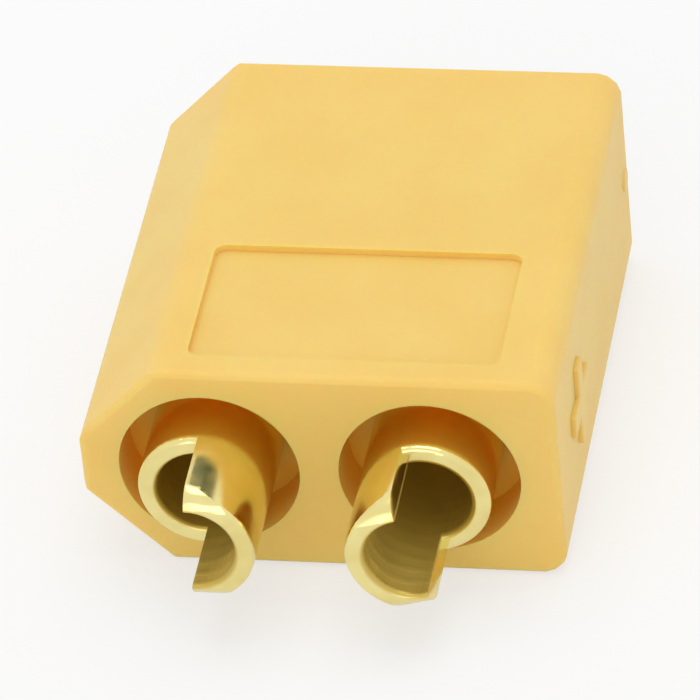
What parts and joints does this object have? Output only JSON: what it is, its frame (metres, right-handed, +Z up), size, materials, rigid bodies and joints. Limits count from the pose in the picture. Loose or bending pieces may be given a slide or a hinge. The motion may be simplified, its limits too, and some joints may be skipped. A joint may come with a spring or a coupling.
{
  "type": "keyed two-pole battery lead plug",
  "caption": "Keyed nylon plug with shrouded split pins and open solder cups for a battery lead.",
  "frame": {"origin": "centre of the housing's bottom face", "axes": "+Y out of the mating end, along the pins; -Y out of the solder cups; +Z up; +X towards the flat, positive side"},
  "size_m": [0.016, 0.0214, 0.008],
  "materials": {
    "housing": "satin moulded nylon",
    "contact": "bright gold plating on turned brass"
  },
  "bodies": {
    "root": {"housing": "housing", "positive_contact": "contact", "negative_contact": "contact"}
  },
  "joints": []
}
